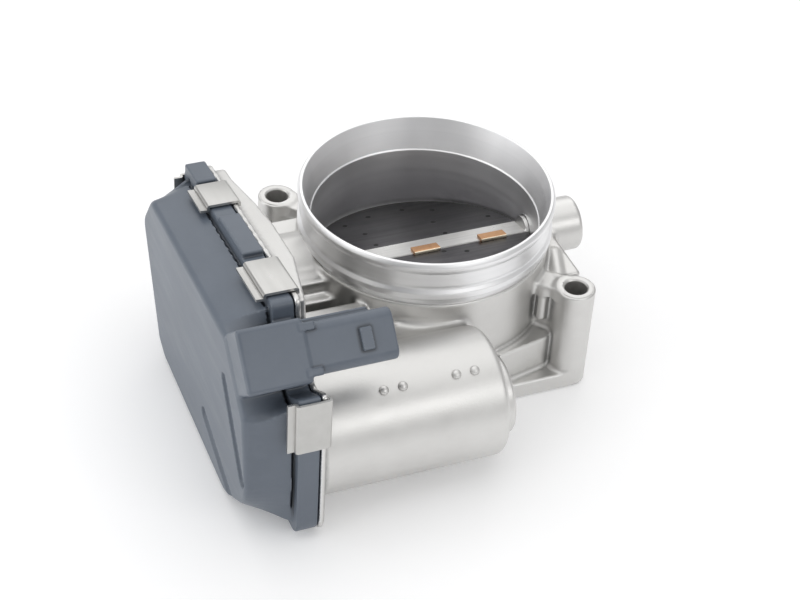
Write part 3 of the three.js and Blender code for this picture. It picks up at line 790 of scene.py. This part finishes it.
CAST = cast_aluminium()
MACHINED = machined_aluminium()
PLASTIC = cover_plastic()
SPRING = brushed("spring_steel", (0.55, 0.545, 0.53), (0.51, 0.506, 0.49),
                 0.30, (1.0, 0.05, 1.0), 260.0, 0.03)
SHAFT_STEEL = brushed("ground_steel", (0.80, 0.795, 0.775), (0.66, 0.655, 0.64), 0.30, (0.03, 1.0, 1.0))
PLATE_METAL = brushed("blued_plate", (0.105, 0.102, 0.108), (0.065, 0.063, 0.068),
                      0.32, (0.05, 1.0, 1.0), 500.0)
MARKS = moulded("punch_mark", (0.004, 0.004, 0.004), (0.010, 0.010, 0.010), 0.7)
COPPER = tab_copper()
BRASS = brushed("tinned_brass", (0.78, 0.66, 0.42), (0.64, 0.52, 0.30), 0.26, (0.04, 1.0, 1.0))
ZINC = brushed("zinc_steel", (0.70, 0.71, 0.72), (0.56, 0.57, 0.585), 0.34, (1.0, 1.0, 1.0), 300.0)
MAGNET = brushed("ferrite", (0.16, 0.16, 0.17), (0.10, 0.10, 0.11), 0.45, (1.0, 1.0, 1.0), 500.0)
NYLON = moulded("gear_nylon", (0.62, 0.59, 0.50), (0.72, 0.69, 0.60), 0.48)
BOARD = moulded("circuit_lacquer", (0.016, 0.055, 0.030), (0.030, 0.095, 0.050), 0.36)
RUBBER = moulded("seal_rubber", (0.010, 0.010, 0.011), (0.022, 0.022, 0.024), 0.62)

# CAD nodes that stay as they are, and their finish
KEPT = {
    "end_plug": ZINC, "base_seal": RUBBER, "shaft_seal": RUBBER, "stop_screw": SHAFT_STEEL,
    "sector_gear": NYLON, "intermediate_gear": NYLON, "gear_pin": SHAFT_STEEL, "sensor_magnet": MAGNET,
    "motor_can": ZINC, "motor_rotor": SHAFT_STEEL, "motor_pinion": BRASS, "motor_plate": ZINC,
    "motor_screw_1": ZINC, "motor_screw_2": ZINC, "bearing_gear_side": SHAFT_STEEL,
    "bearing_far_side": SHAFT_STEEL, "return_spring": SPRING, "sensor_board": BOARD,
    **{f"terminal_{i}": BRASS for i in range(1, 7)},
}
for node, material in KEPT.items():
    mesh = frame["nodes"][node].data
    mesh.materials.clear()
    mesh.materials.append(material)


# ---- what repeats -------------------------------------------------------
def setting_out_tree():
    """Places a shape on every point, turned and stretched by the point's attributes."""
    tree = bpy.data.node_groups.new("set_out", "GeometryNodeTree")
    for label, kind in (("Places", "NodeSocketGeometry"), ("Shape", "NodeSocketObject"),
                        ("Finish", "NodeSocketMaterial")):
        tree.interface.new_socket(label, in_out="INPUT", socket_type=kind)
    tree.interface.new_socket("Pieces", in_out="OUTPUT", socket_type="NodeSocketGeometry")
    given, made = tree.nodes.new("NodeGroupInput"), tree.nodes.new("NodeGroupOutput")
    shape = tree.nodes.new("GeometryNodeObjectInfo")
    spread = tree.nodes.new("GeometryNodeInstanceOnPoints")
    for name, socket in (("turn", "Rotation"), ("stretch", "Scale")):
        stored = tree.nodes.new("GeometryNodeInputNamedAttribute")
        stored.data_type = "FLOAT_VECTOR"
        stored.inputs["Name"].default_value = name
        tree.links.new(stored.outputs["Attribute"], spread.inputs[socket])
    real = tree.nodes.new("GeometryNodeRealizeInstances")
    paint = tree.nodes.new("GeometryNodeSetMaterial")
    link = tree.links.new
    link(given.outputs["Shape"], shape.inputs["Object"])
    link(given.outputs["Places"], spread.inputs["Points"])
    link(shape.outputs["Geometry"], spread.inputs["Instance"])
    link(spread.outputs["Instances"], real.inputs["Geometry"])
    link(real.outputs["Geometry"], paint.inputs["Geometry"])
    link(given.outputs["Finish"], paint.inputs["Material"])
    link(paint.outputs["Geometry"], made.inputs["Pieces"])
    return tree


SET_OUT = setting_out_tree()


def set_out(shape_mesh, places, material):
    """One mesh with a copy of the shape, modelled about (0, 0, 0), at each (point, euler, stretch) place."""
    points = np.array([place[0] for place in places], float) * MM + ORIGIN
    mesh = bpy.data.meshes.new("places")
    mesh.from_pydata(points.tolist(), [], [])
    for column, name in ((1, "turn"), (2, "stretch")):
        layer = mesh.attributes.new(name, "FLOAT_VECTOR", "POINT")
        layer.data.foreach_set("vector", np.array([place[column] for place in places], np.float32).ravel())
    shape = host_of(shape_mesh)
    host = host_of(mesh)
    modifier = host.modifiers.new("set_out", "NODES")
    modifier.node_group = SET_OUT
    values = {"Shape": shape, "Finish": material}
    for item in SET_OUT.interface.items_tree:
        if item.in_out == "INPUT" and item.name in values:
            modifier[item.identifier] = values[item.name]
    made = finished(host)
    bpy.data.objects.remove(shape)
    return made


def local_mesh(name, points, faces):
    """Mesh in metres about its own origin, for setting out."""
    mesh = bpy.data.meshes.new(name)
    mesh.from_pydata((np.asarray(points, float) * MM).tolist(), [], [list(map(int, f)) for f in faces])
    mesh.shade_smooth()
    return sharpened(mesh)


# ---- the pieces ---------------------------------------------------------
def housing_casting():
    def faced(points, normal):
        base = (points[:, 2] < 0.3) & (normal[:, 2] < -0.8)
        face = (points[:, 0] < FACE_X + 0.3) & (normal[:, 0] < -0.8)
        return (base | face).astype(float)

    mesh = cast_mesh("housing_casting", casting, (-73.5, -95.5, -2), (63, 52, 82), 0.8, 190000, faced)
    piece("housing_casting", mesh, "casing", CAST, ["housing"])


def machined_neck():
    """Turned intake neck, bore and rim step in one ring, drilled for the shaft."""
    outside = [
        (42.58, 0.0), (42.58, 44.0), (44.4, 44.4), (44.4, NECK_Z),
        (NECK_R - 0.2, NECK_Z + 0.3), (NECK_R, NECK_Z + 0.9), (NECK_R, 52.4),
        (45.1, 53.8), (45.1, 54.6), (45.4, 55.4), (45.4, 60.6), (46.2, 62.2), (46.3, 63.6), (45.5, HEIGHT),
    ]
    inside = [(RIM_R, HEIGHT), (BORE_R + 0.45, RIM_STEP_Z + 0.3), (BORE_R, RIM_STEP_Z), (BORE_R, 0.0)]
    mesh = to_mesh("machined_neck", *turned(softened(outside + inside, 0.3, 4), 288))
    host = host_of(mesh)
    drills = []
    for low, high in ((-44.5, -39.0), (39.0, 44.5)):
        ring = [(0.0, 5.5 * math.cos(a), SHAFT_Z + 5.5 * math.sin(a))
                for a in np.linspace(0, 2 * math.pi, 96, False)]
        drill = host_of(to_mesh("drill", *lofted([np.array(ring) + (x, 0, 0) for x in (low, high)])))
        drills.append(drill)
        modifier = host.modifiers.new("drill", "BOOLEAN")
        modifier.operation = "DIFFERENCE"
        modifier.solver = "EXACT"
        modifier.object = drill
    mesh = finished(host)
    for drill in drills:
        bpy.data.objects.remove(drill)
    mesh.shade_smooth()
    piece("machined_neck", sharpened(mesh, math.radians(28)), "casing", MACHINED, ["housing"])
    # broken edge round the far shaft hole: a thin ring that follows the bore wall
    sections = []
    for a in np.linspace(0, 2 * math.pi, 96, False):
        ring = []
        for reach, lift in ((5.35, 0.6), (5.35, 0.05), (6.0, -0.04), (6.1, 0.6)):
            y, z = reach * math.cos(a), SHAFT_Z + reach * math.sin(a)
            ring.append((math.sqrt(BORE_R ** 2 - y * y) + lift, y, z))
        sections.append(ring)
    points = np.array(sections).reshape(-1, 3)
    count = len(sections)
    faces = []
    for s in range(count):
        t = (s + 1) % count
        for i in range(4):
            j = (i + 1) % 4
            faces.append((s * 4 + i, s * 4 + j, t * 4 + j, t * 4 + i))
    both = np.concatenate([points, points * (-1, 1, 1)])
    mirrored = [tuple(v + len(points) for v in f[::-1]) for f in faces]
    mesh = to_mesh("shaft_hole_chamfers", both, faces + mirrored)
    piece("shaft_hole_chamfers", sharpened(mesh), "casing", MACHINED, ["housing"])


def bolt_seats():
    """Seat ring and hole lining at the four bolt columns."""
    profile = softened([
        (BOLT_HOLE_R, 0.0), (BOLT_HOLE_R + 1.2, 0.0), (BOLT_HOLE_R + 1.2, BOSS_Z - 1.5),
        (6.3, BOSS_Z - 1.2), (6.3, BOSS_Z),
        (BOLT_HOLE_R + 0.6, BOSS_Z), (BOLT_HOLE_R, BOSS_Z - 0.6),
    ], 0.15)
    shape = local_mesh("bolt_seat", *turned(profile, 72))
    places = [((sx * BOLT_XY, sy * BOLT_XY, 0), (0, 0, 0), (1, 1, 1)) for sx in (-1, 1) for sy in (-1, 1)]
    piece("bolt_seats", set_out(shape, places, CAST), "casing", CAST, ["housing"])


def ejector_pips():
    """Four small round ejector marks on the motor tube."""
    profile = [(0.02, 0.0), (1.7, 0.0), (1.7, 0.5), (1.55, 1.05), (1.2, 1.45), (0.7, 1.7), (0.02, 1.78)]
    shape = local_mesh("ejector_pip", *turned(profile, 32))
    lean = math.radians(28)
    reach = TUBE_R - 0.35
    y, z = MOTOR_Y - math.sin(lean) * reach, MOTOR_Z + math.cos(lean) * reach
    places = [((x, y, z), (lean, 0, 0), (1, 1, 1)) for x in (-44.3, -37.6, -18.5, -11.9)]
    piece("ejector_pips", set_out(shape, places, CAST), "casing", CAST, ["housing"])


def gear_cover():
    mesh = cast_mesh("gear_cover_shell", cover, (-97.5, -95, -2), (-41.5, 38.5, 85), 0.65, 190000, depth=0.5)
    piece("gear_cover_shell", mesh, "casing", PLASTIC, ["gear_cover"])


def spring_clips():
    """Six bent sheet-steel clips that hold the cover to the casting."""
    thick, width = 0.9, 18.0
    back, front = FACE_X + EDGE_T + 0.35 + thick / 2, RIM_X - 0.5 - thick / 2
    line = [(back, -1.5), (back, 0.45), (front, 0.45), (front, -1.25), (front - 2.85, -1.05)]
    path = rounded_path(line, 0.8, 8)
    left, right = offset_path(path, thick / 2), offset_path(path, -thick / 2)
    section = np.concatenate([left, right[::-1]])
    middle = section.mean(0)
    rings = []
    for y, inset in ((-width / 2, 0.012), (-width / 2 + 0.2, 0.0),
                     (width / 2 - 0.2, 0.0), (width / 2, 0.012)):
        ring = section + (middle - section) * inset
        rings.append(np.stack([ring[:, 0], np.full(len(ring), y), ring[:, 1] + 0.3], 1))
    shape = local_mesh("clip", *lofted(rings))
    fix_outward(shape)
    places = [((0, y, z), (math.radians(angle - 90), 0, 0), (1, size / width, 1))
              for y, z, angle, size in CLIPS]
    nodes = [f"cover_clip_{i}" for i in range(1, 7)]
    piece("cover_clips", set_out(shape, places, SPRING), "casing", SPRING, nodes)


def rounded_path(corners, radius, steps=6):
    corners = [np.array(c, float) for c in corners]
    points = [corners[0]]
    for before, here, after in zip(corners, corners[1:], corners[2:]):
        a, b = before - here, after - here
        na, nb = np.linalg.norm(a), np.linalg.norm(b)
        reach = min(radius, 0.45 * na, 0.45 * nb)
        start, end = here + a / na * reach, here + b / nb * reach
        for t in np.linspace(0, 1, steps):
            points.append((1 - t) ** 2 * start + 2 * t * (1 - t) * here + t * t * end)
    points.append(corners[-1])
    return np.array(points)


def offset_path(path, distance):
    ahead = np.gradient(path, axis=0)
    ahead /= np.linalg.norm(ahead, axis=1)[:, None]
    return path + np.stack([-ahead[:, 1], ahead[:, 0]], 1) * distance


def fix_outward(mesh):
    work = bmesh.new()
    work.from_mesh(mesh)
    bmesh.ops.remove_doubles(work, verts=work.verts, dist=1e-7)
    bmesh.ops.recalc_face_normals(work, faces=work.faces)
    work.to_mesh(mesh)
    work.free()
    mesh.shade_smooth()
    sharpened(mesh)


def on_plate(x, out, height):
    """Point on the throttle plate: out towards the front edge, height above its middle plane."""
    cos, sin = math.cos(PLATE_TILT), math.sin(PLATE_TILT)
    return (x, -out * cos + height * sin, SHAFT_Z + out * sin + height * cos)


def throttle_shaft():
    """Ground shaft: round in its bearings, flat-topped where the plate is fitted."""
    flat, flat_end = 1.35, 39.0
    half = math.acos(flat / SHAFT_R)
    stations = [(-82.4, 4.5, False), (-81.9, SHAFT_R, False),
                (-flat_end - 0.5, SHAFT_R, False), (-flat_end, SHAFT_R, True),
                (flat_end, SHAFT_R, True), (flat_end + 0.5, SHAFT_R, False),
                (53.1, SHAFT_R, False), (53.6, 4.5, False)]
    sections = []
    for x, radius, flattened in stations:
        ring = [on_plate(x, radius * math.sin(a), radius * math.cos(a))
                for a in np.linspace(half, 2 * math.pi - half, 49)]
        for t in np.linspace(-1, 1, 19)[1:-1]:
            if flattened:
                ring.append(on_plate(x, radius * math.sin(half) * t, flat))
            else:
                ring.append(on_plate(x, radius * math.sin(half * t), radius * math.cos(half * t)))
        sections.append(ring)
    mesh = to_mesh("throttle_shaft_turned", *lofted(sections))
    fix_outward(mesh)
    piece("throttle_shaft_turned", mesh, "throttle", SHAFT_STEEL, ["throttle_shaft"])


def throttle_disc():
    """Dark plate, bevelled at the rim; its small staking marks are set out by plate_marks."""
    radius, half = BORE_R - 0.3, PLATE_T / 2
    profile = [(0.0, half), (radius - 0.5, half), (radius - 0.15, half - 0.18), (radius, 0.2), (radius, -0.2),
               (radius - 0.15, -half + 0.18), (radius - 0.5, -half), (0.0, -half)]
    sides = 256
    angle = np.linspace(0, 2 * math.pi, sides, endpoint=False)
    points, faces = [], []
    for r, h in profile[1:-1]:
        points += [on_plate(0.994 * r * math.cos(a), r * math.sin(a) / math.cos(math.radians(6)), h)
                   for a in angle]
    rows = len(profile) - 2
    for k in range(rows - 1):
        for i in range(sides):
            j = (i + 1) % sides
            faces.append((k * sides + i, k * sides + j, (k + 1) * sides + j, (k + 1) * sides + i))
    faces.append(tuple(range(sides)))
    faces.append(tuple(range(rows * sides - 1, (rows - 1) * sides - 1, -1)))
    mesh = to_mesh("throttle_plate_disc", points, faces)
    fix_outward(mesh)
    piece("throttle_plate_disc", mesh, "throttle", PLATE_METAL, ["throttle_plate"])


def plate_marks():
    """Small dark punch marks in rings on the plate."""
    profile = [(0.02, -0.3), (0.95, -0.3), (0.95, 0.0), (0.8, 0.06), (0.4, 0.03), (0.02, 0.0)]
    shape = local_mesh("punch_mark", *turned(profile, 24))
    fix_outward(shape)
    spots = [(5, -33.1), (15.4, -28.2), (-9, -32.6), (-19.7, -28.7),
             (-15.3, -18.9), (-15, -8.2), (11.6, -17.9),
             (11.9, -7), (32.4, -14.1), (5.6, 7.2), (13.2, 10.6)]
    places = [(on_plate(x, out, PLATE_T / 2 + 0.01), (-PLATE_TILT, 0, 0), (1, 1, 1)) for x, out in spots]
    piece("plate_marks", set_out(shape, places, MARKS), "throttle", MARKS, ["throttle_plate"])


def plate_tabs():
    """Two small copper tabs staked over the front edge of the shaft flat."""
    for number, middle in ((1, -0.3), (2, 26.0)):
        low, high = middle - 5.0, middle + 5.0
        profile = rounded_path([(1.9, 2.3), (5.9, 2.3), (6.2, 2.05), (6.2, 0.95),
                                (4.7, 0.95), (4.7, 1.4), (1.9, 1.4)], 0.2, 3)
        sections = [[on_plate(x, *p) for p in profile] for x in (low, low + 0.15, high - 0.15, high)]
        mesh = to_mesh(f"plate_tab_bent_{number}", *lofted(sections))
        fix_outward(mesh)
        ahead = Vector(on_plate(0, 1, 0)) - Vector(on_plate(0, 0, 0))
        # mask for the painted reflection on the tab's front face
        layer = mesh.attributes.new("front", "FLOAT", "FACE")
        layer.data.foreach_set("value", [float(p.normal.dot(ahead) > 0.6) for p in mesh.polygons])
        piece(f"plate_tab_bent_{number}", mesh, "throttle", COPPER, [f"plate_tab_{number}"])


housing_casting()
machined_neck()
bolt_seats()
ejector_pips()
gear_cover()
spring_clips()
throttle_shaft()
throttle_disc()
plate_marks()
plate_tabs()


# ---- floor, light and camera --------------------------------------------
def floor():
    material = Finish("floor_paper", 0.0, 0.7)
    fibre = noise(material.tree, material.place, 900.0, 3.0)
    material.base(material.colours(fibre, [(0.3, (0.90, 0.90, 0.905)), (0.7, (0.93, 0.93, 0.935))]))
    material.shader.inputs["Emission Color"].default_value = (1.0, 1.0, 1.0, 1)
    material.shader.inputs["Emission Strength"].default_value = 0.14
    mesh = bpy.data.meshes.new("floor")
    half = 4.0
    mesh.from_pydata([(-half, -half, 0), (half, -half, 0), (half, half, 0), (-half, half, 0)],
                     [], [(0, 1, 2, 3)])
    mesh.materials.append(material.material)
    made = bpy.data.objects.new("floor", mesh)
    bpy.context.scene.collection.objects.link(made)
    made.location = (0, 0, -0.0003)


def softbox(name, place, target, size, power):
    light = bpy.data.lights.new(name, "AREA")
    light.shape = "RECTANGLE"
    light.size, light.size_y = size
    light.energy = power
    made = bpy.data.objects.new(name, light)
    made.location = place
    made.rotation_mode = "QUATERNION"
    made.rotation_quaternion = (Vector(place) - Vector(target)).to_track_quat("Z", "Y")
    bpy.context.scene.collection.objects.link(made)


def lighting():
    world = bpy.data.worlds.new("studio")
    bpy.context.scene.world = world
    world.use_nodes = True
    world.node_tree.nodes["Background"].inputs["Color"].default_value = (1.0, 1.0, 1.0, 1)
    world.node_tree.nodes["Background"].inputs["Strength"].default_value = 0.5
    middle = (0, 0, 0.04)
    softbox("overhead", (0.0, 0.15, 0.95), middle, (1.5, 1.2), 4.6)
    softbox("left", (-1.15, 0.1, 0.45), middle, (1.2, 0.9), 5.0)
    softbox("back", (0.35, 1.1, 0.75), middle, (1.3, 0.6), 2.6)
    softbox("front", (0.45, -1.05, 0.8), middle, (1.0, 0.4), 3.0)
    bpy.context.scene.view_settings.view_transform = "Standard"


def camera():
    """Three-quarter view from above on the motor side, slightly rolled."""
    place = Vector(ORIGIN) + Vector((-0.23, -0.50808, 0.46426))
    azimuth, elevation, roll = (math.radians(a) for a in (-23.645929, 39.036631, 3.807572))
    back = Vector((math.sin(azimuth) * math.cos(elevation), -math.cos(azimuth) * math.cos(elevation),
                   math.sin(elevation)))
    right = Vector((math.cos(azimuth), math.sin(azimuth), 0))
    up = back.cross(right)
    across = right * math.cos(roll) + up * math.sin(roll)
    upright = up * math.cos(roll) - right * math.sin(roll)
    data = bpy.data.cameras.new("camera")
    data.lens = 86.39
    data.sensor_width = 36
    made = bpy.data.objects.new("camera", data)
    made.rotation_mode = "QUATERNION"
    made.matrix_world = Matrix.Translation(place) @ Matrix((across, upright, back)).transposed().to_4x4()
    bpy.context.scene.collection.objects.link(made)
    bpy.context.scene.camera = made


floor()
lighting()
camera()
